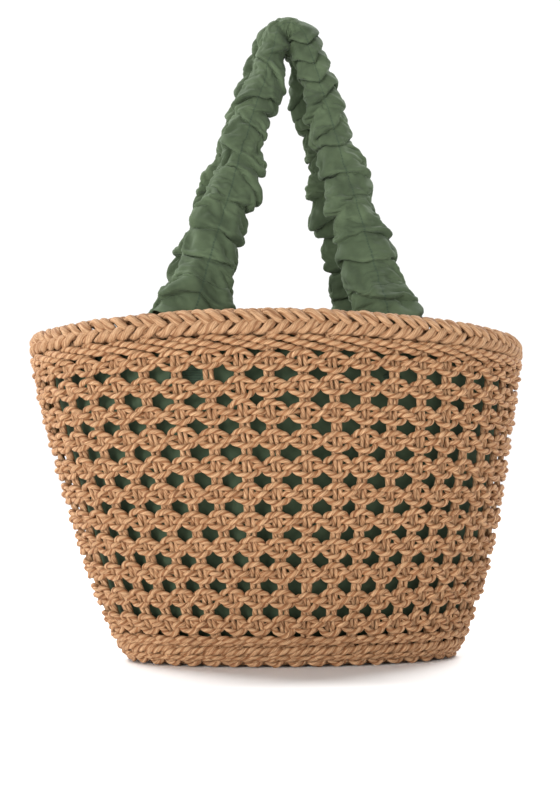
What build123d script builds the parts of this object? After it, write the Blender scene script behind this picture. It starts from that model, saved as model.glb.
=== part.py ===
from build123d import *
import math
import os

# Hand-woven paper-rope tote basket with a fabric lining and two gathered fabric handles.
# Millimetres. +Z is up, +X runs along the mouth's length, -Y is the front.
# The origin is on the floor, under the middle of the mouth.

# Outside of the wall from the floor to the rim: height, half width, half depth, centre along X
STATIONS = [
    (0.0, 133.0, 70.0, 11.0),
    (42.3, 154.5, 88.0, 9.0),
    (100.9, 172.5, 105.0, 7.0),
    (159.6, 185.0, 120.0, 3.0),
    (218.2, 198.0, 118.5, 0.5),
    (256.0, 200.0, 115.0, 0.0),
]

# Weave: every layer is given by its distance in from the outside of the wall
CORD_D = 3.6
FRONT_LAYER = (0.0, 3.2)
STAKE_LINE = 5.3
BACK_LAYER = (7.4, 10.6)
STAKE_PAIRS = 42
PAIR_SPACING = 4.0
STAKE_FOOT_Z = 10.2
STAKE_TOP_Z = 247.4
STAKE_BEND_R = 60.0

# Rows, by the height of their middle at the front
BANDS = 11
TOP_BAND_Z = 228.0
BAND_PITCH = 19.55
BAND_H = 14.0
TOP_WALE_Z = 241.2
TOP_WALE_H = 9.4
BOTTOM_WALE_Z = [12.9, 20.3]
BOTTOM_WALE_H = 6.6

# Rim, which arches up towards the middle of the front and back
RIM_Z = (248.0, 263.0)
RIM_ARCH = 10.0
ARCH_START_Z = 150.0
LEAST_ARCH = 0.1
ARCH_POWER = 3.0

# Base
EDGE_H = 9.0
BASE_H = 7.0
BASE_GAP = 0.2

# Lining
LINING_LAYER = (11.0, 12.2)
LINING_FLOOR_Z = (7.4, 8.6)
LINING_WALL_Z = (8.8, 231.8)
HEM_Z = (232.0, 246.0)
HEM_LAYER = (11.0, 13.2)
SEAM_GAP = 0.2

# Handles: each is a gathered sleeve on a rope, drawn flat and then leaned in over the mouth
HANDLE_BASE_Z = 270.0
HANDLE_BASE_Y = 77.5
HANDLE_MID_X = {"front": -2.5, "back": -0.5}
HANDLE_HALF_SPACING = {"front": 72.5, "back": 85.5}
HANDLE_LEAN = 15.0
APEX_X = 7.0
APEX_CORNER_Z = 286.0
APEX_R = 12.0
ROPE_R = 5.0
TUNNEL_R = 5.2
SLEEVE_HALF_T = 11.0
SLEEVE_FOOT_HALF_W = 28.0
SLEEVE_NECK_Z = 190.0
SLEEVE_NECK_HALF_W = 17.0
SLEEVE_TOP_HALF_W = 11.0
SLEEVE_TOP_HALF_T = 10.8
SLEEVE_APEX_R = 10.5
LEG_BELOW = 60.0
FOLD_GAP = 3.5
NECK_LENGTH = 38.0
COLLAR_DEPTH = 14.0

# Webbing tab that the rope ends in, sewn through the lining to the weave
TAB_LAYER = (13.4, 15.0)
TAB_W = 26.0
TAB_Z = (196.0, 250.0)
STITCH_D = 0.9
STITCH_L = 5.0
STITCH_ROWS = [199.0, 203.0, 207.0, 211.0]
STITCH_LIFT = 0.1

FAR = 600.0


def wall(height):
    """Half width, half depth and centre of the wall's outside at a height."""
    if height >= STATIONS[-1][0]:
        return STATIONS[-1][1:]
    for low, high in zip(STATIONS, STATIONS[1:]):
        if height <= high[0]:
            share = (height - low[0]) / (high[0] - low[0])
            return tuple(p + share * (q - p) for p, q in zip(low[1:], high[1:]))


def oval(height, inset):
    """Horizontal oval of the wall at a height, moved in by inset."""
    half_w, half_d, mid_x = wall(height)
    return Pos(mid_x, 0, height) * Ellipse(half_w - inset, half_d - inset)


def core(low, high, inset):
    """Everything inside the wall's surface between two heights."""
    heights = [low] + [s[0] for s in STATIONS if low < s[0] < high] + [high]
    return loft([oval(h, inset) for h in heights], ruled=True)


def ring(low, high, layer):
    """One layer of the wall between two heights."""
    return core(low, high, layer[0]) - core(low, high, layer[1])


def arch(height):
    """How far a line at this height drops from the middle of the front to the ends."""
    share = (height - ARCH_START_Z) / (STATIONS[-1][0] - ARCH_START_Z)
    return RIM_ARCH * min(max(share, 0.0), 1.0) ** ARCH_POWER


def arched_ring(low, high, layer):
    """A ring whose top and bottom arch up at the front and back."""
    if arch(low) < LEAST_ARCH:
        return ring(low, high, layer)
    reach = STATIONS[-1][1]
    top = ThreePointArc((-reach, high - arch(high)), (0, high), (reach, high - arch(high)))
    bottom = ThreePointArc((-reach, low - arch(low)), (0, low), (reach, low - arch(low)))
    ends = [Line(top @ side, bottom @ side) for side in (0, 1)]
    side_view = make_face([top.edge(), bottom.edge(), ends[0].edge(), ends[1].edge()])
    slab = extrude(Plane.XZ * side_view, FAR / 2, both=True)
    return ring(low - arch(low), high, layer) & slab


def row(middle, tall, layer):
    return arched_ring(middle - tall / 2, middle + tall / 2, layer)


def write(name, *pieces):
    solids = [solid for piece in pieces for solid in piece.solids()]
    shape = solids[0] if len(solids) == 1 else Compound(children=solids)
    export_step(shape, os.path.join("parts", name + ".step"))


def stake_angles():
    """Oval angles of the stake pairs, evenly spaced round the wall at mid height."""
    half_w, half_d, _ = wall(TOP_BAND_Z / 2)
    steps = 3600
    angles = [2 * math.pi * i / steps for i in range(steps + 1)]
    lengths = [0.0]
    for p, q in zip(angles, angles[1:]):
        across = half_w * (math.cos(q) - math.cos(p))
        along = half_d * (math.sin(q) - math.sin(p))
        lengths.append(lengths[-1] + math.hypot(across, along))
    found = []
    place = 0
    for pair in range(STAKE_PAIRS):
        goal = lengths[-1] * (pair + 0.5) / STAKE_PAIRS
        while lengths[place] < goal:
            place += 1
        found.append(angles[place])
    return found


def stake_point(height, angle, side):
    """Centre of one cord of a pair: side is -1 or 1."""
    half_w, half_d, mid_x = wall(height)
    half_w -= STAKE_LINE
    half_d -= STAKE_LINE
    speed = math.hypot(half_w * math.sin(angle), half_d * math.cos(angle))
    turned = angle + side * PAIR_SPACING / 2 / speed
    return (mid_x + half_w * math.cos(turned), half_d * math.sin(turned), height)


def stake(angle, side):
    """One cord of a stake pair, from the bottom edge up to the rim braid."""
    across = math.cos(angle)
    top = STAKE_TOP_Z - RIM_ARCH * across * across
    heights = [STAKE_FOOT_Z] + [s[0] for s in STATIONS[1:-1]] + [top]
    path = FilletPolyline(*[stake_point(h, angle, side) for h in heights], radius=STAKE_BEND_R)
    return sweep(Plane(origin=path @ 0, z_dir=path % 0) * Circle(CORD_D / 2), path=path)


def leg_points(side):
    """Left foot, corner over the apex and right foot of the rope, in the flat handle."""
    foot_l = Vector(HANDLE_MID_X[side] - HANDLE_HALF_SPACING[side], 0, 0)
    foot_r = Vector(HANDLE_MID_X[side] + HANDLE_HALF_SPACING[side], 0, 0)
    corner = Vector(APEX_X, 0, APEX_CORNER_Z)
    return foot_l, corner, foot_r


def rope_path(side):
    foot_l, corner, foot_r = leg_points(side)
    below_l = foot_l - (corner - foot_l).normalized() * LEG_BELOW
    below_r = foot_r - (corner - foot_r).normalized() * LEG_BELOW
    return FilletPolyline(below_l, corner, below_r, radius=APEX_R)


def rope(side, radius):
    path = rope_path(side)
    return sweep(Plane(origin=path @ 0, z_dir=path % 0) * Circle(radius), path=path)


def sleeve_leg(foot, corner, tangent):
    """Tapering oval tube along one leg, up to where the rope starts to bend."""
    way = (corner - foot).normalized()
    across = Vector(way.Z, 0, -way.X)
    below = foot - way * LEG_BELOW
    neck = foot + way * SLEEVE_NECK_Z

    def section(point, half_w, half_t):
        return Plane(origin=point, x_dir=across, z_dir=way) * Ellipse(half_w, half_t)

    foot_end = section(below, SLEEVE_FOOT_HALF_W, SLEEVE_HALF_T)
    neck_end = section(neck, SLEEVE_NECK_HALF_W, SLEEVE_HALF_T)
    top_end = section(tangent, SLEEVE_TOP_HALF_W, SLEEVE_TOP_HALF_T)
    return loft([foot_end, neck_end, top_end], ruled=True)


def sleeve(side):
    """The whole gathered sleeve, flat, with the rope's tunnel through it."""
    foot_l, corner, foot_r = leg_points(side)
    bend = rope_path(side).edges().filter_by(GeomType.CIRCLE)[0]
    ends = sorted([bend @ 0, bend @ 1], key=lambda point: point.X)
    over = sweep(Plane(origin=bend @ 0, z_dir=bend % 0) * Circle(SLEEVE_APEX_R), path=bend)
    legs = sleeve_leg(foot_l, corner, ends[0]) + sleeve_leg(foot_r, corner, ends[1])
    return legs + over - rope(side, TUNNEL_R)


def length_of(handle, low, high):
    """The stretch of a flat handle between two heights."""
    return handle & Pos(0, 0, (low + high) / 2) * Box(FAR, FAR, high - low)


def stand(handle, side):
    """Lean a flat handle in over the mouth and set it at its place on the rim."""
    sign = -1 if side == "front" else 1
    place = Pos(0, sign * HANDLE_BASE_Y, HANDLE_BASE_Z)
    return place * Rot(sign * HANDLE_LEAN, 0, 0) * handle


def by_x(shape):
    """Left and right solids of a shape."""
    return sorted(shape.solids(), key=lambda solid: solid.center().X)


def tab(foot_x, sign):
    """Webbing end that lies on the inside of the lining."""
    shell = ring(TAB_Z[0], TAB_Z[1], TAB_LAYER)
    return shell & Pos(foot_x, sign * FAR / 2, 0) * Box(TAB_W, FAR, FAR)


def stitches(foot_x, sign):
    """Rows of thread across a tab, one each side of its middle."""
    made = []
    for height in STITCH_ROWS:
        half_w, half_d, mid_x = wall(height)
        inset = TAB_LAYER[1] + STITCH_D / 2 + STITCH_LIFT
        for place in (foot_x - TAB_W / 4, foot_x + TAB_W / 4):
            share = (place - mid_x) / (half_w - inset)
            depth = sign * (half_d - inset) * math.sqrt(1 - share * share)
            turn = math.degrees(math.atan2((half_d - inset) ** 2 * (place - mid_x),
                                           (half_w - inset) ** 2 * depth))
            made.append(Pos(place, depth, height) * Rot(0, 0, -turn) * Box(STITCH_L, STITCH_D, STITCH_D))
    return made


os.makedirs("parts", exist_ok=True)

# Base and bottom edge
write("base_mat", extrude(oval(0, BACK_LAYER[1] + BASE_GAP), BASE_H))
write("bottom_edge", ring(0, EDGE_H, (FRONT_LAYER[0], BACK_LAYER[1])))

# Twined rows in front of the stakes, and the same rows behind them
inner_rows = []
for number, middle in enumerate(BOTTOM_WALE_Z, 1):
    write(f"bottom_wale_{number}", row(middle, BOTTOM_WALE_H, FRONT_LAYER))
    inner_rows.append(row(middle, BOTTOM_WALE_H, BACK_LAYER))
for number in range(1, BANDS + 1):
    middle = TOP_BAND_Z - BAND_PITCH * (number - 1)
    write(f"weft_band_{number:02d}", row(middle, BAND_H, FRONT_LAYER))
    inner_rows.append(row(middle, BAND_H, BACK_LAYER))
write("top_wale", row(TOP_WALE_Z, TOP_WALE_H, FRONT_LAYER))
inner_rows.append(row(TOP_WALE_Z, TOP_WALE_H, BACK_LAYER))
write("weft_inner_rows", *inner_rows)

# Upright cords in pairs, and the plaited rim that ends them
write("stake_cords", *[stake(angle, side) for angle in stake_angles() for side in (-1, 1)])
write("rim_braid", arched_ring(RIM_Z[0], RIM_Z[1], (FRONT_LAYER[0], BACK_LAYER[1])))

# Lining: two wall panels seamed at the ends, a floor and a folded hem
lining_wall = ring(LINING_WALL_Z[0], LINING_WALL_Z[1], LINING_LAYER)
for side, sign in (("front", -1), ("back", 1)):
    half = Pos(0, sign * (FAR + SEAM_GAP) / 2, 0) * Box(2 * FAR, FAR, 2 * FAR)
    write(f"lining_{side}", lining_wall & half)
floor_low, floor_high = LINING_FLOOR_Z
write("lining_floor", extrude(oval(floor_low, LINING_LAYER[0] + BASE_GAP), floor_high - floor_low))
write("lining_hem", ring(HEM_Z[0], HEM_Z[1], HEM_LAYER))

# Handles: rope and sleeve are cut where the handle folds, at the rim and one neck length above it
mouth = core(TAB_Z[0], HANDLE_BASE_Z + NECK_LENGTH, TAB_LAYER[0])
for side, sign in (("front", -1), ("back", 1)):
    flat_rope = rope(side, ROPE_R)
    flat_sleeve = sleeve(side)
    neck_top = NECK_LENGTH - FOLD_GAP
    loop_foot = NECK_LENGTH + FOLD_GAP
    stubs = by_x(stand(length_of(flat_rope, -LEG_BELOW, -FOLD_GAP), side) & mouth)
    collars = by_x(stand(length_of(flat_sleeve, -COLLAR_DEPTH, -FOLD_GAP), side) & mouth)
    neck_ropes = by_x(stand(length_of(flat_rope, FOLD_GAP, neck_top), side))
    neck_sleeves = by_x(stand(length_of(flat_sleeve, FOLD_GAP, neck_top), side))
    for place, hand in enumerate(("left", "right")):
        foot_x = HANDLE_MID_X[side] + (2 * place - 1) * HANDLE_HALF_SPACING[side]
        write(f"{side}_strap_end_{hand}", tab(foot_x, sign) + stubs[place])
        write(f"{side}_tab_stitches_{hand}", *stitches(foot_x, sign))
        write(f"{side}_sleeve_foot_{hand}", collars[place])
        write(f"{side}_neck_rope_{hand}", neck_ropes[place])
        write(f"{side}_neck_sleeve_{hand}", neck_sleeves[place])
    write(f"{side}_loop_rope", stand(length_of(flat_rope, loop_foot, FAR), side))
    write(f"{side}_loop_sleeve", stand(length_of(flat_sleeve, loop_foot, FAR), side))
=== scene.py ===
import math

import bpy
import numpy as np
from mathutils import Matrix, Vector


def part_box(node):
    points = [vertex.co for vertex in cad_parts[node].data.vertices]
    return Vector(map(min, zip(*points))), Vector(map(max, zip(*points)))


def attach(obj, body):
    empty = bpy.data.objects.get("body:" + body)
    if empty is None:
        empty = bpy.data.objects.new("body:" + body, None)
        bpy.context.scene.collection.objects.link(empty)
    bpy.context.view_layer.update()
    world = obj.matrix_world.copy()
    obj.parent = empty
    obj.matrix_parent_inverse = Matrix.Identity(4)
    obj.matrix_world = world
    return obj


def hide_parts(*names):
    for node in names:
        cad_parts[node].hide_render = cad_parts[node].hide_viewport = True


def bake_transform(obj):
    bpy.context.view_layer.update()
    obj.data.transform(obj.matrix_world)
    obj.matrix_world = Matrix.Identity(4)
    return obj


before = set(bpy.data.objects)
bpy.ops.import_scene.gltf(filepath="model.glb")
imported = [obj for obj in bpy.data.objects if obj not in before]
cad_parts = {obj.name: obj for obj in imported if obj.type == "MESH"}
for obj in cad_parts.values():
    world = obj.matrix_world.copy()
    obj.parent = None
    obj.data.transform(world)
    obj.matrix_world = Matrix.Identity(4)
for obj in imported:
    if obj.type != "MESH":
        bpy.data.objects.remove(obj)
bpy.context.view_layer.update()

# ---- Camera --------------------------------------------------------------------------------------
# A long lens a little over a metre from the bag, just left of its front and below its rim,
# tilted up a few degrees so that the handles are in view.
CAMERA_DISTANCE = 1.1
CAMERA_SIDE = math.radians(-8)
CAMERA_HEIGHT = 0.126
CAMERA_TILT = math.radians(4.07)
CAMERA_LENS = 60.5

camera_data = bpy.data.cameras.new("camera")
camera_data.lens = CAMERA_LENS
camera_data.sensor_width = 36
camera = bpy.data.objects.new("camera", camera_data)
bpy.context.collection.objects.link(camera)
camera.location = (math.sin(CAMERA_SIDE) * CAMERA_DISTANCE, -math.cos(CAMERA_SIDE) * CAMERA_DISTANCE,
                   CAMERA_HEIGHT)
camera.rotation_euler = (math.pi / 2 + CAMERA_TILT, 0, CAMERA_SIDE)
bpy.context.scene.camera = camera

# ---- Studio --------------------------------------------------------------------------------------
# A pale floor that runs into a white horizon. Two soft lights stand high behind the bag, left and
# right, and keep its shadow close under the base; a third stands low in front on the left.
FLOOR_SIZE = 40.0
FLOOR_GREY = 0.92
# name, direction that it comes from, spread in degrees, strength
SOFT_LIGHTS = [
    ("back_left_light", (-0.70, 0.50, 1.0), 22, 3.4),
    ("back_right_light", (0.70, 0.50, 1.0), 22, 3.2),
    ("front_light", (-0.95, -0.9, 0.22), 24, 2.2),
]
CEILING_GREY = 0.22
HORIZON_WHITE = 1.05
# sines of the heights in the sky where the white ends and the ceiling grey begins
HORIZON_TOP = 0.41
CEILING_START = 0.55


def new_material(name, roughness, specular=0.5):
    """A new material and its shader node."""
    material = bpy.data.materials.new(name)
    material.use_nodes = True
    shader = material.node_tree.nodes["Principled BSDF"]
    shader.inputs["Roughness"].default_value = roughness
    shader.inputs["Specular IOR Level"].default_value = specular
    return material, shader


def add_node(material, kind, **settings):
    """Add a node; settings name its properties, or its inputs where it has no such property."""
    node = material.node_tree.nodes.new(kind)
    for key, value in settings.items():
        if hasattr(node, key):
            setattr(node, key, value)
        else:
            node.inputs[key.replace("_", " ")].default_value = value
    return node


def wire(material, *links):
    """Join node outputs to inputs: each link is (node, output, node, input)."""
    for source, out, target, into in links:
        material.node_tree.links.new(source.outputs[out], target.inputs[into])


def colour_steps(material, *steps):
    """A colour ramp from (place, colour) pairs."""
    ramp = add_node(material, "ShaderNodeValToRGB")
    elements = ramp.color_ramp.elements
    while len(elements) < len(steps):
        elements.new(0.5)
    for element, (place, colour) in zip(elements, steps):
        element.position = place
        element.color = (*colour, 1)
    return ramp


floor_finish, floor_shader = new_material("pale_floor", 0.6)
floor_shader.inputs["Base Color"].default_value = (FLOOR_GREY, FLOOR_GREY, FLOOR_GREY, 1)
floor_mesh = bpy.data.meshes.new("studio_floor")
half = FLOOR_SIZE / 2
floor_mesh.from_pydata([(-half, -half, 0), (half, -half, 0), (half, half, 0), (-half, half, 0)], [],
                       [(0, 1, 2, 3)])
floor_mesh.materials.append(floor_finish)
studio_floor = bpy.data.objects.new("studio_floor", floor_mesh)
bpy.context.collection.objects.link(studio_floor)

world = bpy.data.worlds.new("white_surroundings")
world.use_nodes = True
sky = add_node(world, "ShaderNodeTexCoord")
height_in_sky = add_node(world, "ShaderNodeSeparateXYZ")
sky_shade = colour_steps(world, (HORIZON_TOP, (HORIZON_WHITE,) * 3), (CEILING_START, (CEILING_GREY,) * 3))
wire(world, (sky, "Generated", height_in_sky, 0), (height_in_sky, "Z", sky_shade, 0),
     (sky_shade, 0, world.node_tree.nodes["Background"], "Color"))
bpy.context.scene.world = world
bpy.context.scene.view_settings.view_transform = "Standard"

for light_name, comes_from, spread, strength in SOFT_LIGHTS:
    light = bpy.data.objects.new(light_name, bpy.data.lights.new(light_name, "SUN"))
    light.data.energy = strength
    light.data.angle = math.radians(spread)
    light.rotation_euler = Vector(comes_from).to_track_quat("Z", "Y").to_euler()
    bpy.context.collection.objects.link(light)

# ---- Base mat ------------------------------------------------------------------------------------
# The floor of the basket: one long paper cord wound into a flat oval coil and tied to the
# stakes that cross under it. Every cord of the bag is two plies of rolled paper, laid together.
STAKE_PAIRS = 42
WEFT_CORD = 0.0050
LAY_LENGTH = 0.015
PLY_OFFSET = 0.25
COIL_PITCH = 0.0046
COIL_START = 0.3
COIL_HEIGHT = 0.0045
# the mouth dips by RIM_ARCH at its two ends, and the dip fades out down to ARCH_START
RIM_ARCH = 0.010
ARCH_START = 0.150
ARCH_FULL = 0.256
WALL_ROWS = ["bottom_edge", "bottom_wale_1", "bottom_wale_2", "top_wale", "rim_braid"]
WALL_ROWS[3:3] = [f"weft_band_{number:02d}" for number in range(11, 0, -1)]
CORD_LAYER = 0.0061


def wall_curves():
    """Half width, half depth and centre of the wall's outside as smooth curves of the height."""
    heights, sizes = [], []
    for row in WALL_ROWS:
        low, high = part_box(row)
        heights.append(high.z)
        sizes.append(((high.x - low.x) / 2, (high.y - low.y) / 2, (high.x + low.x) / 2))
    return [np.poly1d(np.polyfit(heights, size, 5)) for size in zip(*sizes)]


half_width_at, half_depth_at, middle_at = wall_curves()
rim_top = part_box("rim_braid")[1].z


def oval_angles():
    """The wall's oval angle for each stake number, evenly spaced round the wall at mid height."""
    angle = np.linspace(0, 2 * math.pi, 7201)
    across = half_width_at(rim_top / 2) * np.cos(angle)
    along = half_depth_at(rim_top / 2) * np.sin(angle)
    walked = np.concatenate([[0], np.cumsum(np.hypot(np.diff(across), np.diff(along)))])
    return angle, walked / walked[-1] * STAKE_PAIRS - 0.5


OVAL_ANGLE, OVAL_STAKE = oval_angles()


def wall_point(stake, height, out):
    """Points on the wall and its outward normals. stake counts stake pairs round the wall, height is
    taken at the front, and out is measured from the middle of the stakes. Distances in metres."""
    stake, height, out = np.broadcast_arrays(*[np.asarray(v, float) for v in (stake, height, out)])
    turns = np.floor((stake + 0.5) / STAKE_PAIRS)
    angle = np.interp(stake - turns * STAKE_PAIRS, OVAL_STAKE, OVAL_ANGLE)
    half_w = half_width_at(height) - CORD_LAYER
    half_d = half_depth_at(height) - CORD_LAYER
    normal = np.stack([half_d * np.cos(angle), half_w * np.sin(angle), 0 * angle], -1)
    normal /= np.linalg.norm(normal, axis=-1, keepdims=True)
    drop = np.clip((height - ARCH_START) / (ARCH_FULL - ARCH_START), 0, 1.0) ** 3
    place = np.stack([middle_at(height) + half_w * np.cos(angle), half_d * np.sin(angle),
                      height - RIM_ARCH * drop * np.cos(angle) ** 2], -1)
    return place + normal * out[..., None], normal


def even_steps(points, normals, step, closed):
    """The same route with its points a step apart, and the distance walked to each."""
    if closed:
        points = np.vstack([points, points[:1]])
        normals = np.vstack([normals, normals[:1]])
    walked = np.concatenate([[0], np.cumsum(np.linalg.norm(np.diff(points, axis=0), axis=1))])
    count = max(4, round(walked[-1] / step))
    wanted = np.linspace(0, walked[-1], count + 1)
    if closed:
        wanted = wanted[:-1]
    points, normals = [np.stack([np.interp(wanted, walked, row[:, k]) for k in range(3)], 1)
                       for row in (points, normals)]
    return points, normals, wanted, walked[-1]


def smooth(values, times, closed=False):
    """Soften a row of values or points, keeping its ends."""
    values = np.array(values, float)
    for _ in range(times):
        if closed:
            values = (np.roll(values, 1, 0) + 2 * values + np.roll(values, -1, 0)) / 4
        else:
            values[1:-1] = (values[:-2] + 2 * values[1:-1] + values[2:]) / 4
    return values


def ply_outline(sides):
    """Radius and angle of a two-ply cord's section, from 1 on a ply's crown to the groove between."""
    angle = np.arange(sides) * 2 * math.pi / sides
    crown = (angle + math.pi / 2) % math.pi - math.pi / 2
    radius = PLY_OFFSET * np.cos(crown) + np.sqrt((1 - PLY_OFFSET) ** 2 - (PLY_OFFSET * np.sin(crown)) ** 2)
    return radius, angle


def lay_cords(name, routes, thick, seed, step=0.0012, sides=10, lay=LAY_LENGTH, closed=False,
              flat=1.0, taper=0.0):
    """One mesh of twisted cords. routes are (points, normals); thick is the cord's diameter.
    flat squeezes a section towards the wall, and taper thins the ends of open cords."""
    rng = np.random.default_rng(seed)
    radius_of, angle_of = ply_outline(sides)
    all_points, all_faces, all_fibre, all_groove, start = [], [], [], [], 0
    for points, normals in routes:
        points, normals, walked, total = even_steps(points, normals, step, closed)
        count = len(points)
        if closed:
            ahead = np.roll(points, -1, 0) - np.roll(points, 1, 0)
            twist = round(total / lay) * 2 * math.pi / total
        else:
            ahead = np.gradient(points, axis=0)
            twist = 2 * math.pi / (lay * rng.uniform(0.88, 1.12))
        ahead /= np.linalg.norm(ahead, axis=1, keepdims=True)
        face_out = normals - ahead * np.sum(normals * ahead, 1, keepdims=True)
        face_out /= np.linalg.norm(face_out, axis=1, keepdims=True)
        sideways = np.cross(ahead, face_out)
        swell = 1 + 0.05 * smooth(rng.normal(0, 1.6, count), 6, closed)
        if taper:
            end = np.clip(np.minimum(walked, total - walked) / taper, 0, 1)
            swell *= 0.35 + 0.65 * np.sqrt(end * (2 - end))
        turned = angle_of[None, :] - walked[:, None] * twist + rng.uniform(0, 2 * math.pi)
        radius = thick / 2 * radius_of[None, :] * swell[:, None]
        section = (np.cos(turned) * radius * flat)[..., None] * face_out[:, None, :]
        section = section + (np.sin(turned) * radius)[..., None] * sideways[:, None, :]
        all_points.append((points[:, None, :] + section).reshape(-1, 3))
        ring = np.arange(count)[:, None] * sides
        side = np.arange(sides)[None, :]
        corner = [ring + side, ring + (side + 1) % sides]
        last = ring + sides
        if closed:
            last = last % (count * sides)
        corner += [last + (side + 1) % sides, last + side]
        quads = np.stack(corner, -1)
        if not closed:
            quads = quads[:-1]
        all_faces.append(quads.reshape(-1, 4) + start)
        around = angle_of[None, :] + 0 * turned
        shift = rng.uniform(0, 3, 3)
        fibre = np.stack([np.cos(around) * radius, np.sin(around) * radius,
                          np.broadcast_to(walked[:, None], radius.shape) * 0.1], -1)
        all_fibre.append((fibre + shift).reshape(-1, 3))
        # how far each point lies down the groove between the plies; the cord finishes paint shade there
        depth = (1 - radius_of) / (1 - radius_of.min())
        all_groove.append(np.broadcast_to(depth, (count, sides)).reshape(-1))
        if not closed:
            all_points.append(points[[0, -1]])
            all_fibre.append(np.zeros((2, 3)) + shift)
            # each cap's tip counts as deep in the groove, so the painted shade darkens it too
            all_groove.append(np.ones(2))
            tips = start + count * sides
            for tip, first, turn in ((tips, start, 1), (tips + 1, start + (count - 1) * sides, -1)):
                rim = first + np.arange(sides)
                cap = np.stack([np.full(sides, tip), np.roll(rim, -turn), rim, rim], -1)
                all_faces.append(cap)
            start += 2
        start += count * sides
    return cord_object(name, np.vstack(all_points), np.vstack(all_faces), np.vstack(all_fibre),
                       np.concatenate(all_groove))


def cord_object(name, points, faces, fibre, groove):
    """A mesh object from points and four-cornered faces. A face whose last two corners agree is a
    triangle."""
    mesh = bpy.data.meshes.new(name)
    triangle = faces[:, 2] == faces[:, 3]
    size = np.where(triangle, 3, 4)
    keep = np.ones(faces.shape, bool)
    keep[triangle, 3] = False
    mesh.vertices.add(len(points))
    mesh.vertices.foreach_set("co", points.astype(np.float32).ravel())
    mesh.loops.add(int(size.sum()))
    mesh.loops.foreach_set("vertex_index", faces[keep].astype(np.int32))
    mesh.polygons.add(len(faces))
    mesh.polygons.foreach_set("loop_start", np.concatenate([[0], np.cumsum(size)[:-1]]).astype(np.int32))
    mesh.polygons.foreach_set("use_smooth", np.ones(len(faces), bool))
    mesh.update(calc_edges=True)
    mesh.validate()
    mesh.attributes.new("fibre", "FLOAT_VECTOR", "POINT").data.foreach_set(
        "vector", fibre.astype(np.float32).ravel())
    mesh.attributes.new("groove", "FLOAT", "POINT").data.foreach_set("value", groove.astype(np.float32))
    piece = bpy.data.objects.new(name, mesh)
    bpy.context.collection.objects.link(piece)
    return piece


def paper_cord_finish(name, light, mid, dark, streak):
    """Rolled natural paper: matt tan, with fine lengthwise creases, lighter and darker stretches,
    and painted shade: a brown darkening down in the groove where two plies meet."""
    material, shader = new_material(name, 0.72, 0.3)
    fibre = add_node(material, "ShaderNodeAttribute", attribute_name="fibre")
    groove = add_node(material, "ShaderNodeAttribute", attribute_name="groove")
    creases = add_node(material, "ShaderNodeTexNoise", Scale=1500.0, Detail=4.0, Roughness=0.7)
    patches = add_node(material, "ShaderNodeTexNoise", Scale=420.0, Detail=2.0)
    tint = colour_steps(material, (0.25, mid), (0.5, light), (0.78, dark))
    shade = colour_steps(material, (0.40, streak), (0.62, (1, 1, 1)))
    blend = add_node(material, "ShaderNodeMix", data_type="RGBA", blend_type="MULTIPLY")
    blend.inputs["Factor"].default_value = 0.9
    # painted shade: the colour darkens to brown towards the bottom of the groove between the plies, where shade
    # falls
    painted_groove_shade = colour_steps(material, (0.60, (1, 1, 1)), (1.0, (0.56, 0.42, 0.31)))
    darken = add_node(material, "ShaderNodeMix", data_type="RGBA", blend_type="MULTIPLY")
    darken.inputs["Factor"].default_value = 1.0
    bump = add_node(material, "ShaderNodeBump", Strength=0.8, Distance=0.0006)
    wire(material, (fibre, "Vector", creases, "Vector"), (fibre, "Vector", patches, "Vector"),
         (patches, 0, tint, 0), (creases, 0, shade, 0), (tint, 0, blend, "A"), (shade, 0, blend, "B"),
         (groove, "Fac", painted_groove_shade, 0), (blend, "Result", darken, "A"), (painted_groove_shade, 0, darken, "B"),
         (darken, "Result", shader, "Base Color"), (creases, 0, bump, "Height"),
         (bump, "Normal", shader, "Normal"))
    return material


paper_cord = paper_cord_finish("paper_cord", (0.63, 0.395, 0.22), (0.50, 0.295, 0.152),
                               (0.38, 0.205, 0.098), (0.42, 0.29, 0.20))


def finish_cord(piece, body, slot, *nodes, material=paper_cord):
    """Give a rope piece its finish, its body and the CAD nodes that it stands for."""
    piece.data.materials.append(material)
    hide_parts(*nodes)
    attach(piece, body)
    return piece


mat_low, mat_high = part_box("base_mat")
mat_middle = (mat_low.x + mat_high.x) / 2
coil_turns = (mat_high.y - mat_low.y) / 2 / COIL_PITCH
coil_angle = np.arange(0, (coil_turns - COIL_START) * 2 * math.pi, 0.02)
coil_out = (coil_angle / (2 * math.pi) + COIL_START) * COIL_PITCH
coil_length = (mat_high.x - mat_low.x - mat_high.y + mat_low.y) / 2
coil_x = mat_middle + coil_out * np.cos(coil_angle) + coil_length * np.clip(1.6 * np.cos(coil_angle), -1, 1)
coil_points = np.stack([coil_x, coil_out * np.sin(coil_angle), 0 * coil_angle + COIL_HEIGHT], -1)
coil_points = smooth(coil_points, 60)
coil_up = np.tile([0.0, 0.0, 1.0], (len(coil_points), 1))
base_coil = lay_cords("base_coil", [(coil_points, coil_up)], WEFT_CORD, 11, step=0.0016, sides=8)
finish_cord(base_coil, "root", "paper_cord", "base_mat")

# ---- Stakes --------------------------------------------------------------------------------------
# Upright paper cords in pairs, set side by side. They come out from under the base, run up
# through every woven row and end in the rim, wandering a little as the rows pull on them.
STAKE_CORD = 0.0044
PAIR_HALF_GAP = 0.0021
STAKE_WANDER = 0.085
STAKE_LAY = 0.024
STAKE_SEED = 21

stake_rng = np.random.default_rng(STAKE_SEED)
wander = smooth(stake_rng.normal(0, 1, (14, STAKE_PAIRS)), 2) * STAKE_WANDER


def stake_at(pair, height):
    """Where a stake pair stands at a height, in stake numbers."""
    level = np.clip(height / rim_top, 0, 1) * (len(wander) - 1)
    return pair + np.interp(level, np.arange(len(wander)), wander[:, pair % STAKE_PAIRS])


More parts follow.
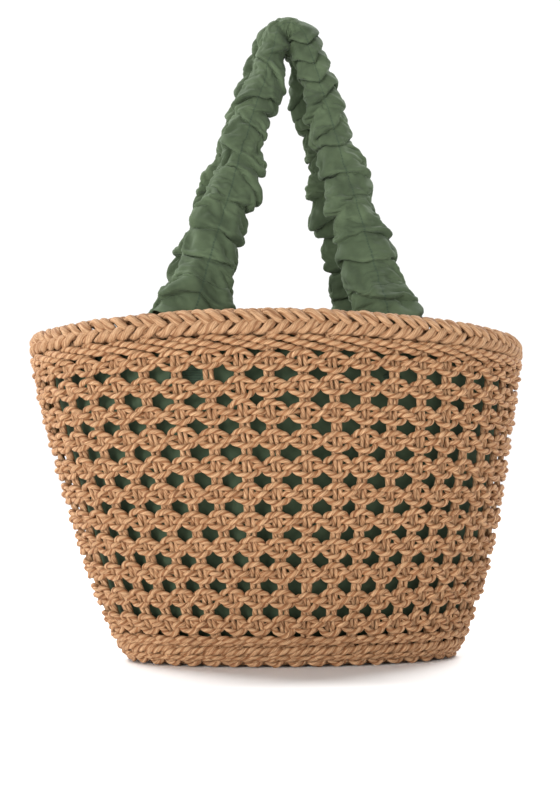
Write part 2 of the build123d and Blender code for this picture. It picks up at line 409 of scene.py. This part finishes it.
stake_routes = []
stake_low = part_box("stake_cords")[0].z
for pair in range(STAKE_PAIRS):
    heights = np.linspace(stake_low - 0.004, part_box("rim_braid")[1].z - 0.010, 60)
    middle = stake_at(pair, heights)
    route_points, route_normals = wall_point(middle, heights, 0.0)
    beside = np.cross(np.gradient(route_points, axis=0), route_normals)
    beside /= np.linalg.norm(beside, axis=1, keepdims=True)
    roll = smooth(stake_rng.normal(0, 0.35, 60), 12)[:, None]
    for sign in (-1, 1):
        offset = beside * np.cos(roll) + route_normals * np.sin(roll)
        stake_routes.append((route_points + sign * PAIR_HALF_GAP * offset, route_normals))
stakes = lay_cords("upright_stakes", stake_routes, STAKE_CORD, STAKE_SEED, step=0.0022, sides=8, lay=STAKE_LAY)
finish_cord(stakes, "root", "paper_cord", "stake_cords")

# ---- Open weft bands -------------------------------------------------------------------------------
# Eleven rows that hold the stakes apart. In each, two cords pass in front of every stake, one
# above and one below it, and cross in the gap; a third goes behind the stakes and over the crossing.
BAND_LIFT = 0.0061
BAND_STEPS = 24
ARC_OUT = 0.0039
BRIDGE_OUT = 0.0050
BRIDGE_BACK = -0.0040
BAND_TALL = 0.014
BAND_DRIFT = 0.0010
UNEVEN = 0.13


def woven_route(stakes_u, keys, height):
    """A closed cord through key places (stake number, rise above the row, out from the stakes)."""
    keys = np.array(sorted(keys))
    dense = np.arange(STAKE_PAIRS * BAND_STEPS) / BAND_STEPS
    wrapped = np.vstack([keys - (STAKE_PAIRS, 0, 0), keys, keys + (STAKE_PAIRS, 0, 0)])
    rise, out = [np.interp(dense, wrapped[:, 0], wrapped[:, k]) for k in (1, 2)]
    rise, out = smooth(rise, 3, True), smooth(out, 3, True)
    wrapped_stakes = np.concatenate([[stakes_u[-1] - STAKE_PAIRS], stakes_u, [stakes_u[0] + STAKE_PAIRS]])
    shifted = np.interp(dense, np.arange(-1, STAKE_PAIRS + 1), wrapped_stakes)
    return wall_point(shifted, height + rise, out)


def band_routes(number, height):
    """The two crossing cords and the bridging cord of one band, each a closed route."""
    rng = np.random.default_rng(100 + number)
    pairs = np.arange(STAKE_PAIRS)
    stakes_u = np.array([stake_at(pair, height) for pair in pairs])
    drift = smooth(rng.normal(0, 1, STAKE_PAIRS), 2, True) * BAND_DRIFT
    above = BAND_LIFT * (1 + rng.normal(0, UNEVEN, STAKE_PAIRS)) + drift
    below = -BAND_LIFT * (1 + rng.normal(0, UNEVEN, STAKE_PAIRS)) + drift
    routes = []
    for first in (0, 1):
        keys = []
        for pair in pairs:
            upper = (pair + first + number) % 2 == 0
            peak = above[pair] if upper else below[pair]
            crossing = 0.0016 if upper else -0.0012
            middle = (drift[pair] + drift[(pair + 1) % STAKE_PAIRS]) / 2
            width = rng.uniform(0.29, 0.35)
            keys.append((pair - width, drift[pair] + 0.74 * (peak - drift[pair]), ARC_OUT - 0.0012))
            keys.append((pair - 0.08, peak, ARC_OUT))
            keys.append((pair + 0.08, peak, ARC_OUT))
            keys.append((pair + width, drift[pair] + 0.74 * (peak - drift[pair]), ARC_OUT - 0.0012))
            keys.append((pair + 0.5, middle, crossing))
        routes.append(woven_route(stakes_u, keys, height))
    keys = []
    for pair in pairs:
        tilt = rng.normal(-0.0004, 0.0006)
        middle = (drift[pair] + drift[(pair + 1) % STAKE_PAIRS]) / 2
        keys.append((pair - 0.12, drift[pair], BRIDGE_BACK))
        keys.append((pair + 0.12, drift[pair], BRIDGE_BACK))
        keys.append((pair + 0.26, middle + tilt, 0.0008))
        keys.append((pair + 0.36, middle + tilt, BRIDGE_OUT - 0.0010))
        keys.append((pair + 0.5, middle, BRIDGE_OUT + rng.normal(0, 0.0003)))
        keys.append((pair + 0.64, middle - tilt, BRIDGE_OUT - 0.0010))
        keys.append((pair + 0.74, middle - tilt, 0.0008))
    routes.append(woven_route(stakes_u, keys, height))
    return routes


for number in range(1, 12):
    node = f"weft_band_{number:02d}"
    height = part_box(node)[1].z - BAND_TALL / 2
    band = lay_cords(f"{node}_cords", band_routes(number, height), WEFT_CORD, 200 + number, closed=True)
    finish_cord(band, "root", "paper_cord", node)
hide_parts("weft_inner_rows")

# ---- Wales -------------------------------------------------------------------------------------------
# Tight rows of three cords. Each cord in turn passes in front of two stakes and behind the third,
# sloping down as it goes: one row under the rim, and two close rows at the foot of the wall.
WALE_CORD = 0.0056
TOP_WALE_DROP = 0.0050
TOP_WALE_RISE = 0.0044
BOTTOM_WALE_RISE = 0.0022


def wale_routes(height, rise, seed, slant=1):
    """The three closed cords of one wale. slant is -1 where they slope up instead of down."""
    rng = np.random.default_rng(seed)
    routes = []
    for first in range(3):
        keys = []
        for pair in range(first, STAKE_PAIRS + first, 3):
            high, low = rise * rng.uniform(0.75, 1.15, 2) * slant
            keys.append((pair + 0.02, high, 0.0008))
            keys.append((pair + 0.45, 0.75 * high, 0.0042))
            keys.append((pair + 1.00, rng.normal(0, 0.0004), 0.0050))
            keys.append((pair + 1.55, -0.75 * low, 0.0036))
            keys.append((pair + 1.98, -low, -0.0004))
            keys.append((pair + 2.50, 0.0, -0.0040))
        routes.append(woven_route(np.arange(STAKE_PAIRS, dtype=float),
                                  [(stake % STAKE_PAIRS, up, out) for stake, up, out in keys], height))
    return routes


top_wale = lay_cords("top_wale_cords", wale_routes(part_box("top_wale")[1].z - TOP_WALE_DROP, TOP_WALE_RISE, 31),
                     WALE_CORD, 31, closed=True)
finish_cord(top_wale, "root", "paper_cord", "top_wale")
for number, slant in ((1, -1), (2, 1)):
    node = f"bottom_wale_{number}"
    wale_low, wale_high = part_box(node)
    height, seed = (wale_low.z + wale_high.z) / 2, 32 + number
    wale = lay_cords(f"{node}_cords", wale_routes(height, BOTTOM_WALE_RISE, seed, slant), WALE_CORD, seed,
                     closed=True)
    finish_cord(wale, "root", "paper_cord", node)

# ---- Bottom edge -----------------------------------------------------------------------------------
# The lowest row: three waled cords over the turned-in stake ends, and a border cord that loops
# down between stakes, so that the bag stands on a row of small scallops.
EDGE_CORD = 0.0046
EDGE_WALE_HEIGHT = 0.0072
EDGE_WALE_RISE = 0.0016


def scallop_route(low, seed):
    """A closed cord that hangs in a shallow loop under each gap between stakes."""
    rng = np.random.default_rng(seed)
    keys = []
    for pair in range(STAKE_PAIRS):
        keys.append((pair, 0.0046 + rng.normal(0, 0.0004), 0.0002))
        keys.append((pair + 0.28, 0.0007, 0.0034))
        keys.append((pair + 0.5, rng.uniform(-0.0003, 0.0004), 0.0040))
        keys.append((pair + 0.72, 0.0007, 0.0034))
    return woven_route(np.arange(STAKE_PAIRS, dtype=float), keys, low)


edge_routes = wale_routes(EDGE_WALE_HEIGHT, EDGE_WALE_RISE, 41)
edge_routes.append(scallop_route(EDGE_CORD / 2, 42))
edge_routes.append(wall_point(np.arange(0, STAKE_PAIRS, 1 / BAND_STEPS), 0.0034, -0.0028))
bottom_edge = lay_cords("bottom_edge_cords", edge_routes, EDGE_CORD, 43, closed=True)
finish_cord(bottom_edge, "root", "paper_cord", "bottom_edge")

# ---- Rim braid -------------------------------------------------------------------------------------
# The stake ends are turned over and plaited into a thick rim. Each strand is a smooth, flat roll
# of paper cord; outside they lie in two slanting rows that meet in a line of chevrons.
RIM_STROKES = 97
RIM_HALF_THICK = 0.0052
RIM_HALF_TALL = 0.0080
RIM_ABOVE = 0.0016
STRAND = 0.0074
STROKE_SPAN = 1.6
# rows of strokes round the rim's section: start angle, end angle, from the outside and upwards
STROKE_ROWS = [(-78, -2), (88, 6), (92, 172), (262, 180)]

rim_cord = paper_cord_finish("rim_cord", (0.57, 0.36, 0.205), (0.47, 0.28, 0.152), (0.38, 0.215, 0.108),
                             (0.48, 0.35, 0.25))
rim_rng = np.random.default_rng(51)
rim_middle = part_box("rim_braid")[1].z - RIM_HALF_TALL + RIM_ABOVE
rim_routes = []
for row, (turn_from, turn_to) in enumerate(STROKE_ROWS):
    for stroke in range(RIM_STROKES):
        share = np.linspace(0, 1, 12)
        along = stroke + (row % 2) * 0.5 + rim_rng.normal(0, 0.06) + (share - 0.5) * STROKE_SPAN
        turn = np.radians(turn_from + (turn_to - turn_from) * (3 * share ** 2 - 2 * share ** 3)
                          + rim_rng.normal(0, 3))
        lift = 1.08 - 0.34 * (2 * share - 1) ** 2 - 0.20 * share ** 3
        stake = along * STAKE_PAIRS / RIM_STROKES
        height = rim_middle + np.sin(turn) * RIM_HALF_TALL * lift
        points, normals = wall_point(stake, height, np.cos(turn) * RIM_HALF_THICK * lift)
        up = np.array([0, 0, 1.0])
        facing = normals * np.cos(turn)[:, None] + up * np.sin(turn)[:, None]
        rim_routes.append((points, facing))
rim = lay_cords("rim_strands", rim_routes, STRAND, 52, step=0.0012, sides=12, lay=0.06, flat=0.80,
                taper=0.0060)
finish_cord(rim, "root", "rim_cord", "rim_braid", material=rim_cord)

# ---- Lining ----------------------------------------------------------------------------------------
# A loose pouch of dark green cotton twill inside the basket: two wall panels seamed together at
# the ends, a floor panel, and a folded hem sewn to the wall under the rim.
LINING_OUT = -0.0072
LINING_STEPS = 6
LINING_FLAT = (0.49, 0.240)
HEM_FLAT = (0.98, 0.034)
HEM_ABOVE = 0.0070
HEM_PER_STAKE = 0.0238
lining_rng = np.random.default_rng(61)
lining_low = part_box("lining_front")[0]
hem_low, hem_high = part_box("lining_hem")
FOLDS = [(lining_rng.integers(9, 34), lining_rng.uniform(0, 2 * math.pi), lining_rng.uniform(-0.6, 0.6))
         for _ in range(9)]


def lining_dent(stake, share):
    """How far the lining hangs in from the wall: soft upright folds, fullest at mid height."""
    dent = 0 * stake
    for count, phase, lean in FOLDS:
        dent = dent + np.sin(stake * 2 * math.pi * count / STAKE_PAIRS + phase + lean * 4 * share)
    return 0.0011 * (1 + dent / 3) * np.sin(math.pi * np.clip(share, 0, 1)) ** 0.7


def cloth_sheet(name, points, flat_place, closed=False):
    """A grid of points as one sheet of cloth. flat_place gives each point's place on the flat cloth."""
    rows, columns = points.shape[:2]
    row = np.arange(rows - 1)[:, None] * columns
    column = np.arange(columns if closed else columns - 1)[None, :]
    beside = (column + 1) % columns
    faces = np.stack([row + column, row + beside, row + columns + beside, row + columns + column], -1)
    mesh = bpy.data.meshes.new(name)
    mesh.from_pydata(points.reshape(-1, 3).tolist(), [], faces.reshape(-1, 4).tolist())
    mesh.polygons.foreach_set("use_smooth", np.ones(len(mesh.polygons), bool))
    mesh.attributes.new("flat_place", "FLOAT_VECTOR", "POINT").data.foreach_set(
        "vector", flat_place.reshape(-1, 3).astype(np.float32).ravel())
    piece = bpy.data.objects.new(name, mesh)
    bpy.context.collection.objects.link(piece)
    return piece


def cotton_finish(name, light, shade, sheen):
    """Matt cotton twill: fine crossing threads, slight fading in patches and a soft nap."""
    material, shader = new_material(name, 0.88, 0.25)
    shader.inputs["Sheen Weight"].default_value = sheen
    shader.inputs["Sheen Roughness"].default_value = 0.45
    shader.inputs["Sheen Tint"].default_value = (0.80, 0.95, 0.78, 1)
    flat = add_node(material, "ShaderNodeAttribute", attribute_name="flat_place")
    patches = add_node(material, "ShaderNodeTexNoise", Scale=38.0, Detail=4.0, Roughness=0.6)
    tint = colour_steps(material, (0.30, shade), (0.68, light))
    warp = add_node(material, "ShaderNodeTexWave", bands_direction="X", Scale=640.0, Distortion=1.2)
    twill = add_node(material, "ShaderNodeTexWave", bands_direction="DIAGONAL", Scale=420.0, Distortion=0.8)
    threads = add_node(material, "ShaderNodeMix", data_type="FLOAT")
    thread_tint = colour_steps(material, (0.15, (0.74, 0.76, 0.74)), (0.75, (1.0, 1.0, 1.0)))
    shaded = add_node(material, "ShaderNodeMix", data_type="RGBA", blend_type="MULTIPLY")
    shaded.inputs["Factor"].default_value = 0.35
    bump = add_node(material, "ShaderNodeBump", Strength=0.2, Distance=0.0002)
    wire(material, (flat, "Vector", patches, "Vector"), (flat, "Vector", warp, "Vector"),
         (flat, "Vector", twill, "Vector"), (patches, 0, tint, 0), (warp, "Fac", threads, "A"),
         (twill, "Fac", threads, "B"), (threads, "Result", thread_tint, 0), (tint, 0, shaded, "A"),
         (thread_tint, 0, shaded, "B"), (shaded, "Result", shader, "Base Color"),
         (threads, "Result", bump, "Height"), (bump, "Normal", shader, "Normal"))
    return material


def finish_cloth(piece, material, slot, body, *nodes):
    """Give a cloth piece its finish, its body where it has one, and the CAD nodes that it stands for."""
    piece.data.materials.append(material)
    if nodes:
        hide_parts(*nodes)
    if body:
        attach(piece, body)
    return piece


lining_cotton = cotton_finish("lining_cotton", (0.078, 0.116, 0.066), (0.048, 0.074, 0.041), 0.12)
for panel, first in (("front", STAKE_PAIRS / 2 - 0.5), ("back", -0.5)):
    stake = first + np.linspace(0, STAKE_PAIRS / 2, STAKE_PAIRS // 2 * LINING_STEPS + 1)[None, :]
    share = np.linspace(0, 1, 64)[:, None]
    height = lining_low.z + share * (hem_low.z + 0.002 - lining_low.z)
    points, _ = wall_point(stake, height, LINING_OUT - lining_dent(stake, share))
    flat_place = np.stack(np.broadcast_arrays(stake * LINING_FLAT[0] / (STAKE_PAIRS / 2),
                                              share * LINING_FLAT[1], 0), -1)
    lining = cloth_sheet(f"lining_panel_{panel}", points, flat_place)
    finish_cloth(lining, lining_cotton, "lining_fabric", "root", f"lining_{panel}")

turn = np.linspace(0, 2 * math.pi, 127)[:-1][None, :]
share = np.linspace(1, 0.02, 30)[:, None]
floor_low, floor_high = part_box("lining_floor")
floor_middle = (floor_low.x + floor_high.x) / 2
floor_half = (floor_high.x - floor_low.x) / 2, (floor_high.y - floor_low.y) / 2
floor_x, floor_y = floor_half[0] * share * np.cos(turn), floor_half[1] * share * np.sin(turn)
rumple = 0.0009 * (1 - share ** 4) * (1 + np.sin(41 * floor_x + 2) * np.sin(63 * floor_y + 60 * floor_x))
points = np.stack([floor_middle + floor_x, floor_y, floor_high.z + rumple], -1)
lining_floor = cloth_sheet("lining_floor_panel", points, points, closed=True)
finish_cloth(lining_floor, lining_cotton, "lining_fabric", "root", "lining_floor")

stake = np.arange(0, STAKE_PAIRS, 1 / LINING_STEPS)[None, :]
around = np.linspace(0, 1, 13)[:, None]
hem_tall = hem_high.z + HEM_ABOVE - hem_low.z
hem_height = hem_high.z + HEM_ABOVE - hem_tall * np.abs(2 * around - 1) + 0.0007 * np.sin(stake * 1.9)
hem_out = LINING_OUT - 0.0001 - 0.0022 * np.clip(around * 1.6 - 0.3, 0, 1)
hem_out = hem_out - 0.0004 * np.sin(stake * 2.7 + 3 * around)
points, _ = wall_point(stake, hem_height, hem_out)
flat_place = np.stack(np.broadcast_arrays(stake * HEM_PER_STAKE, around * HEM_FLAT[1], 0), -1)
lining_hem = cloth_sheet("lining_folded_hem", points, flat_place, closed=True)
finish_cloth(lining_hem, lining_cotton, "lining_fabric", "root", "lining_hem")

# ---- Strap ends and stitches -----------------------------------------------------------------------
# Each handle's rope ends in a webbing tab inside the lining, sewn through to the weave with
# rows of thread. The ropes are laid cotton and show only where a sleeve gapes.
webbing, webbing_shader = new_material("ribbed_webbing", 0.8, 0.3)
webbing_place = add_node(webbing, "ShaderNodeTexCoord")
ribs = add_node(webbing, "ShaderNodeTexWave", bands_direction="Z", Scale=260.0, Distortion=0.6)
rib_tint = colour_steps(webbing, (0.2, (0.020, 0.036, 0.022)), (0.8, (0.052, 0.088, 0.054)))
rib_bump = add_node(webbing, "ShaderNodeBump", Strength=0.6, Distance=0.0004)
wire(webbing, (webbing_place, "Object", ribs, "Vector"), (ribs, "Fac", rib_tint, 0),
     (rib_tint, 0, webbing_shader, "Base Color"), (ribs, "Fac", rib_bump, "Height"),
     (rib_bump, "Normal", webbing_shader, "Normal"))

cotton_rope, rope_shader = new_material("cotton_rope", 0.85, 0.25)
rope_place = add_node(cotton_rope, "ShaderNodeTexCoord")
rope_lay = add_node(cotton_rope, "ShaderNodeTexWave", bands_direction="DIAGONAL", Scale=120.0,
                    Distortion=1.0)
rope_tint = colour_steps(cotton_rope, (0.1, (0.30, 0.29, 0.24)), (0.8, (0.62, 0.60, 0.52)))
rope_bump = add_node(cotton_rope, "ShaderNodeBump", Strength=0.8, Distance=0.001)
wire(cotton_rope, (rope_place, "Object", rope_lay, "Vector"), (rope_lay, "Fac", rope_tint, 0),
     (rope_tint, 0, rope_shader, "Base Color"), (rope_lay, "Fac", rope_bump, "Height"),
     (rope_bump, "Normal", rope_shader, "Normal"))

green_thread, thread_shader = new_material("green_thread", 0.6, 0.4)
thread_place = add_node(green_thread, "ShaderNodeTexCoord")
thread_twist = add_node(green_thread, "ShaderNodeTexWave", bands_direction="DIAGONAL", Scale=900.0)
thread_tint = colour_steps(green_thread, (0.2, (0.045, 0.075, 0.045)), (0.8, (0.11, 0.17, 0.10)))
wire(green_thread, (thread_place, "Object", thread_twist, "Vector"), (thread_twist, "Fac", thread_tint, 0),
     (thread_tint, 0, thread_shader, "Base Color"))

for node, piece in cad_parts.items():
    for part, finish in (("strap_end", webbing), ("rope", cotton_rope), ("tab_stitches", green_thread)):
        if part in node and "neck_sleeve" not in node:
            piece.data.materials.clear()
            piece.data.materials.append(finish)

# ---- Gathered handle sleeves -------------------------------------------------------------------------
# Each handle is a tube of green cotton, sewn up along its front, pushed together along the rope to
# under two thirds of its length and caught down the seam, so that it puffs out in overlapping tucks.
SLEEVE_LENGTH = 0.282
SLEEVE_WIDTHS = (0.059, 0.049, 0.036)
SLEEVE_GATHER = 1.6
SLEEVE_RINGS = 170
SLEEVE_SIDES = 36
SLEEVE_HALF_WIDTHS = (0.0245, 0.0175, 0.0098)
SLEEVE_HALF_DEPTHS = (0.0100, 0.0095, 0.0085)
# distance between tucks at the foot, the middle and the top of a leg
TUCK_SPACING = (0.026, 0.020, 0.027)
TUCK_LEAN = 0.021
TUCK_PUFF = 0.0056
TUCK_STEP = 0.0050
# the tucks fade out over this length below the top of the handle
TUCK_FADE = 0.024
CLOTH_THICK = 0.0006
ROPE_RADIUS = 0.0055
# the cloth is settled ten times its size, where the solver is steadier
CLOTH_SCALE = 10.0
CLOTH_FRAMES = 12
SLEEVE_SEEDS = (6, 9)
# the distance from the seam is kept in centimetres, so that a colour ramp can show a fine line
SEAM_SCALE = 100


def tuck_rings(angle, rng):
    """Height of each tuck round the sleeve, one row a tuck: level at the seams, leaning on the sides."""
    heights = [-rng.uniform(0.5, 1.0) * TUCK_SPACING[0]]
    while heights[-1] < SLEEVE_LENGTH:
        share = max(heights[-1], 0) / SLEEVE_LENGTH
        heights.append(heights[-1] + np.interp(share, [0, 0.5, 1], TUCK_SPACING) * rng.uniform(0.65, 1.35))
    count = len(heights)
    lean = rng.uniform(-1, 1, (4, count)) * TUCK_LEAN
    right, front = np.clip(np.cos(angle), 0, 1), np.clip(np.sin(angle), 0, 1)
    left, back = np.clip(-np.cos(angle), 0, 1), np.clip(-np.sin(angle), 0, 1)
    rings = np.array(heights)[:, None] + sum(
        lean[k][:, None] * side[None, :] ** 1.5 * weight
        for k, (side, weight) in enumerate(((right, 1), (front, 0.3), (left, 1), (back, 0.6))))
    depth = rng.uniform(0.25, 1.25, (2, count))
    seams = 0.45 * (front + back)[None, :]
    return rings, depth[0][:, None] * right[None, :] + depth[1][:, None] * left[None, :] + seams


def tucked_sleeve(seed):
    """A straight sleeve with its tucks laid in, and the lengths that its cloth is cut to."""
    rng = np.random.default_rng(seed)
    share = np.linspace(0, 1, SLEEVE_RINGS)
    place = share * SLEEVE_LENGTH
    angle = np.arange(SLEEVE_SIDES) * 2 * math.pi / SLEEVE_SIDES
    aside, ahead = np.cos(angle)[None, :], np.sin(angle)[None, :]
    half_wide = np.interp(share, [0, 0.45, 1], SLEEVE_HALF_WIDTHS)[:, None]
    half_deep = np.interp(share, [0, 0.5, 1], SLEEVE_HALF_DEPTHS)[:, None]
    rings, depth = tuck_rings(angle, rng)
    order = np.arange(len(rings))
    phase = np.stack([np.interp(place, rings[:, k], order) for k in range(SLEEVE_SIDES)], 1)
    tuck_depth = np.stack([np.interp(phase[:, k], order, depth[:, k]) for k in range(SLEEVE_SIDES)], 1)
    spacing = np.interp(share, [0, 0.5, 1], TUCK_SPACING)[:, None]
    along = phase % 1.0
    hidden = 0.5 - 0.5 / SLEEVE_GATHER
    # over the open part the cloth runs on at its own length, and over the hidden part it runs back
    runs_on = (SLEEVE_GATHER - 1) * np.minimum(along, 1 - hidden)
    slip = runs_on - (SLEEVE_GATHER + 1) * np.clip(along - (1 - hidden), 0, None)
    fade = np.clip((SLEEVE_LENGTH - place) / TUCK_FADE, 0, 1)[:, None]
    slip = (slip - (SLEEVE_GATHER - 1) * (1 - hidden) / 2) * spacing * tuck_depth * fade
    open_share = np.clip(along / (1 - hidden), 0, 1)
    step = np.where(along < 1 - hidden, 1 - 2 * open_share, 2 * (along - (1 - hidden)) / hidden - 1)
    puff = TUCK_PUFF * tuck_depth * np.sin(math.pi * open_share) ** 0.7 * (0.1 + 0.9 * np.abs(aside) ** 0.6)
    puff = (puff + TUCK_STEP * step * np.minimum(tuck_depth, 1)) * fade
    rough = 0.0004 * rng.normal(0, 1, puff.shape)
    start = np.stack([(half_wide + puff) * aside, (half_deep + 0.7 * puff) * ahead,
                      place[:, None] + slip + rough], -1)
    radius = np.interp(share, [0, 0.45, 1], SLEEVE_WIDTHS)[:, None] / math.pi
    cut_place = (place * SLEEVE_GATHER)[:, None]
    flat = np.stack(np.broadcast_arrays(radius * aside, radius * ahead, cut_place), -1)
    return start, flat, along > 1 - hidden


def settle_cloth(start, flat, hidden):
    """Let the tucked sleeve relax round its rope, caught at its seams where the cloth is tucked under."""
    sides = SLEEVE_SIDES
    sleeve = cloth_sheet("settling_sleeve", start * CLOTH_SCALE, flat, closed=True)
    sleeve.shape_key_add(name="tucked")
    cut_key = sleeve.shape_key_add(name="cut")
    cut_key.data.foreach_set("co", (flat * CLOTH_SCALE).astype(np.float32).ravel())
    cut_key.value = 0
    seam = [ring * sides + side for ring in range(len(start)) for side in (sides // 4, 3 * sides // 4)
            if hidden[ring, side]]
    ends = list(range(sides)) + list(range((len(start) - 1) * sides, len(start) * sides))
    sleeve.vertex_groups.new(name="caught").add(sorted(set(seam + ends)), 1.0, "REPLACE")
    cloth = sleeve.modifiers.new("cloth", "CLOTH")
    settings = cloth.settings
    settings.vertex_group_mass = "caught"
    settings.rest_shape_key = cut_key
    settings.quality = 6
    settings.mass = 0.3
    settings.tension_stiffness = settings.compression_stiffness = 20
    settings.shear_stiffness = 8
    settings.bending_stiffness = 2
    settings.tension_damping = settings.compression_damping = settings.shear_damping = 15
    settings.air_damping = 4
    settings.effector_weights.gravity = 0
    settings.use_pressure = True
    settings.uniform_pressure_force = 3
    cloth.collision_settings.use_self_collision = True
    cloth.collision_settings.self_distance_min = 0.014
    cloth.collision_settings.self_friction = 5
    cloth.collision_settings.distance_min = 0.02
    cloth.point_cache.frame_start, cloth.point_cache.frame_end = 1, CLOTH_FRAMES
    bpy.ops.mesh.primitive_cylinder_add(
        vertices=16, radius=ROPE_RADIUS * CLOTH_SCALE, depth=SLEEVE_LENGTH * CLOTH_SCALE * 1.02,
        location=(0, 0, SLEEVE_LENGTH * CLOTH_SCALE / 2))
    rope = bpy.context.object
    rope.modifiers.new("rope", "COLLISION")
    rope.collision.thickness_outer = 0.01
    for moment in range(1, CLOTH_FRAMES + 1):
        bpy.context.scene.frame_set(moment)
    settled = sleeve.evaluated_get(bpy.context.evaluated_depsgraph_get()).to_mesh()
    places = np.zeros(len(settled.vertices) * 3)
    settled.vertices.foreach_get("co", places)
    bpy.data.objects.remove(sleeve)
    bpy.data.objects.remove(rope)
    bpy.context.scene.frame_set(1)
    return places.reshape(start.shape) / CLOTH_SCALE


# where the legs of each handle stand on the rim, and how the handle leans in over the mouth
HANDLE_FEET = {"front": (-0.075, 0.070), "back": (-0.080, 0.085)}
HANDLE_FOOT_Y = 0.0775
HANDLE_FOOT_Z = 0.270
HANDLE_LEAN = math.radians(15)
APEX_X = 0.007
ROPE_CORNER = 0.286
ROPE_BEND = 0.012
SLEEVE_BELOW = 0.014
APEX_OVERLAP = 0.004
# how far up a leg the lower sleeve ends, and where the two bends begin and end
NECK_SPLIT = 0.019
NECK_TURN = (-0.010, 0.014)
LOOP_TURN = (0.024, 0.052)


def upright_handle(side, aside, depth, up):
    """A point of the flat handle, leaned in over the mouth and stood on the rim."""
    sign = -1 if side == "front" else 1
    out = HANDLE_FOOT_Y - up * math.sin(HANDLE_LEAN) + depth * math.cos(HANDLE_LEAN)
    height = HANDLE_FOOT_Z + up * math.cos(HANDLE_LEAN) + depth * math.sin(HANDLE_LEAN)
    return np.stack([aside, sign * out, height], -1)


def bend_over_rope(straight, side, foot_x):
    """Carry a straight sleeve up one leg of the rope and round the bend to the top of the handle."""
    lean = math.atan2(APEX_X - foot_x, ROPE_CORNER)
    other = [x for x in HANDLE_FEET[side] if x != foot_x][0]
    half_turn = (math.pi - abs(lean) - abs(math.atan2(APEX_X - other, ROPE_CORNER))) / 2
    leg = math.hypot(APEX_X - foot_x, ROPE_CORNER) - ROPE_BEND * math.tan(half_turn)
    total = SLEEVE_BELOW + leg + ROPE_BEND * half_turn
    walked = straight[..., 2] * (total + APEX_OVERLAP) / SLEEVE_LENGTH - SLEEVE_BELOW
    toward = 1 if foot_x < APEX_X else -1
    turned = np.clip(walked - leg, 0, None) / ROPE_BEND * toward
    on_leg = np.minimum(walked, leg)
    way = lean + turned
    centre_x = foot_x + on_leg * math.sin(lean)
    centre_up = on_leg * math.cos(lean)
    centre_x = centre_x + ROPE_BEND * toward * (math.cos(lean) - np.cos(way))
    centre_up = centre_up + ROPE_BEND * toward * (np.sin(way) - math.sin(lean))
    across = straight[..., 0]
    return upright_handle(side, centre_x + across * np.cos(way), straight[..., 1],
                          centre_up - across * np.sin(way))


def seam_finish():
    """The lining's cotton in a lighter green, with a line of stitches down the front seam."""
    material = cotton_finish("handle_cotton", (0.084, 0.116, 0.062), (0.040, 0.058, 0.030), 0.12)
    shader = material.node_tree.nodes["Principled BSDF"]
    cloth_colour = shader.inputs["Base Color"].links[0].from_node
    seam = add_node(material, "ShaderNodeAttribute", attribute_name="seam_distance")
    flat = add_node(material, "ShaderNodeAttribute", attribute_name="flat_place")
    dashes = add_node(material, "ShaderNodeTexWave", bands_direction="Z", Scale=100.0)
    line = colour_steps(material, (0.03, (0.8, 0.8, 0.8)), (0.07, (0, 0, 0)))
    dash = colour_steps(material, (0.15, (0.35, 0.35, 0.35)), (0.40, (1, 1, 1)))
    stitched = add_node(material, "ShaderNodeMix", data_type="RGBA", blend_type="MULTIPLY")
    stitched.inputs["Factor"].default_value = 1.0
    sewn = add_node(material, "ShaderNodeMix", data_type="RGBA", blend_type="MIX")
    sewn.inputs["B"].default_value = (0.030, 0.050, 0.030, 1)
    wire(material, (seam, "Fac", line, 0), (flat, "Vector", dashes, "Vector"), (dashes, "Fac", dash, 0),
         (line, 0, stitched, "A"), (dash, 0, stitched, "B"), (stitched, "Result", sewn, "Factor"),
         (cloth_colour, "Result", sewn, "A"), (sewn, "Result", shader, "Base Color"))
    return material


handle_cotton = seam_finish()
sleeve_angle = np.arange(SLEEVE_SIDES) * 2 * math.pi / SLEEVE_SIDES
from_seam = np.abs((sleeve_angle - math.pi / 2 + math.pi) % (2 * math.pi) - math.pi)
from_seam = from_seam * SLEEVE_WIDTHS[1] / math.pi * SEAM_SCALE
sleeves = []
for seed in SLEEVE_SEEDS:
    tucked, flat, hidden = tucked_sleeve(seed)
    settled = settle_cloth(tucked, flat, hidden)
    sleeves.append((settled, flat))

split = round((NECK_SPLIT + SLEEVE_BELOW) / SLEEVE_LENGTH * SLEEVE_RINGS)
for side, feet in HANDLE_FEET.items():
    for hand, foot_x in zip(("left", "right"), feet):
        straight, flat = sleeves[(hand == "right") != (side == "back")]
        if side == "back":
            straight = straight * (-1, 1, 1)
        places = bend_over_rope(straight, side, foot_x)
        for part, rings, bodies, turn, nodes in (
                ("lower", slice(0, split + 1), ("root", f"{side}_handle_neck"), NECK_TURN,
                 (f"{side}_sleeve_foot_{hand}", f"{side}_neck_sleeve_{hand}")),
                ("upper", slice(split, None), (f"{side}_handle_neck", f"{side}_handle_loop"), LOOP_TURN,
                 (f"{side}_loop_sleeve",))):
            piece = cloth_sheet(f"{side}_sleeve_{hand}_{part}", places[rings], flat[rings], closed=True)
            seam_line = np.broadcast_to(from_seam, places[rings].shape[:2])
            piece.data.attributes.new("seam_distance", "FLOAT", "POINT").data.foreach_set(
                "value", seam_line.astype(np.float32).ravel())
            piece.modifiers.new("soft_folds", "SUBSURF").render_levels = 1
            solid = piece.modifiers.new("cloth_thickness", "SOLIDIFY")
            solid.thickness = CLOTH_THICK
            finish_cloth(piece, handle_cotton, "handle_fabric", None, *nodes)
            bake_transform(piece)
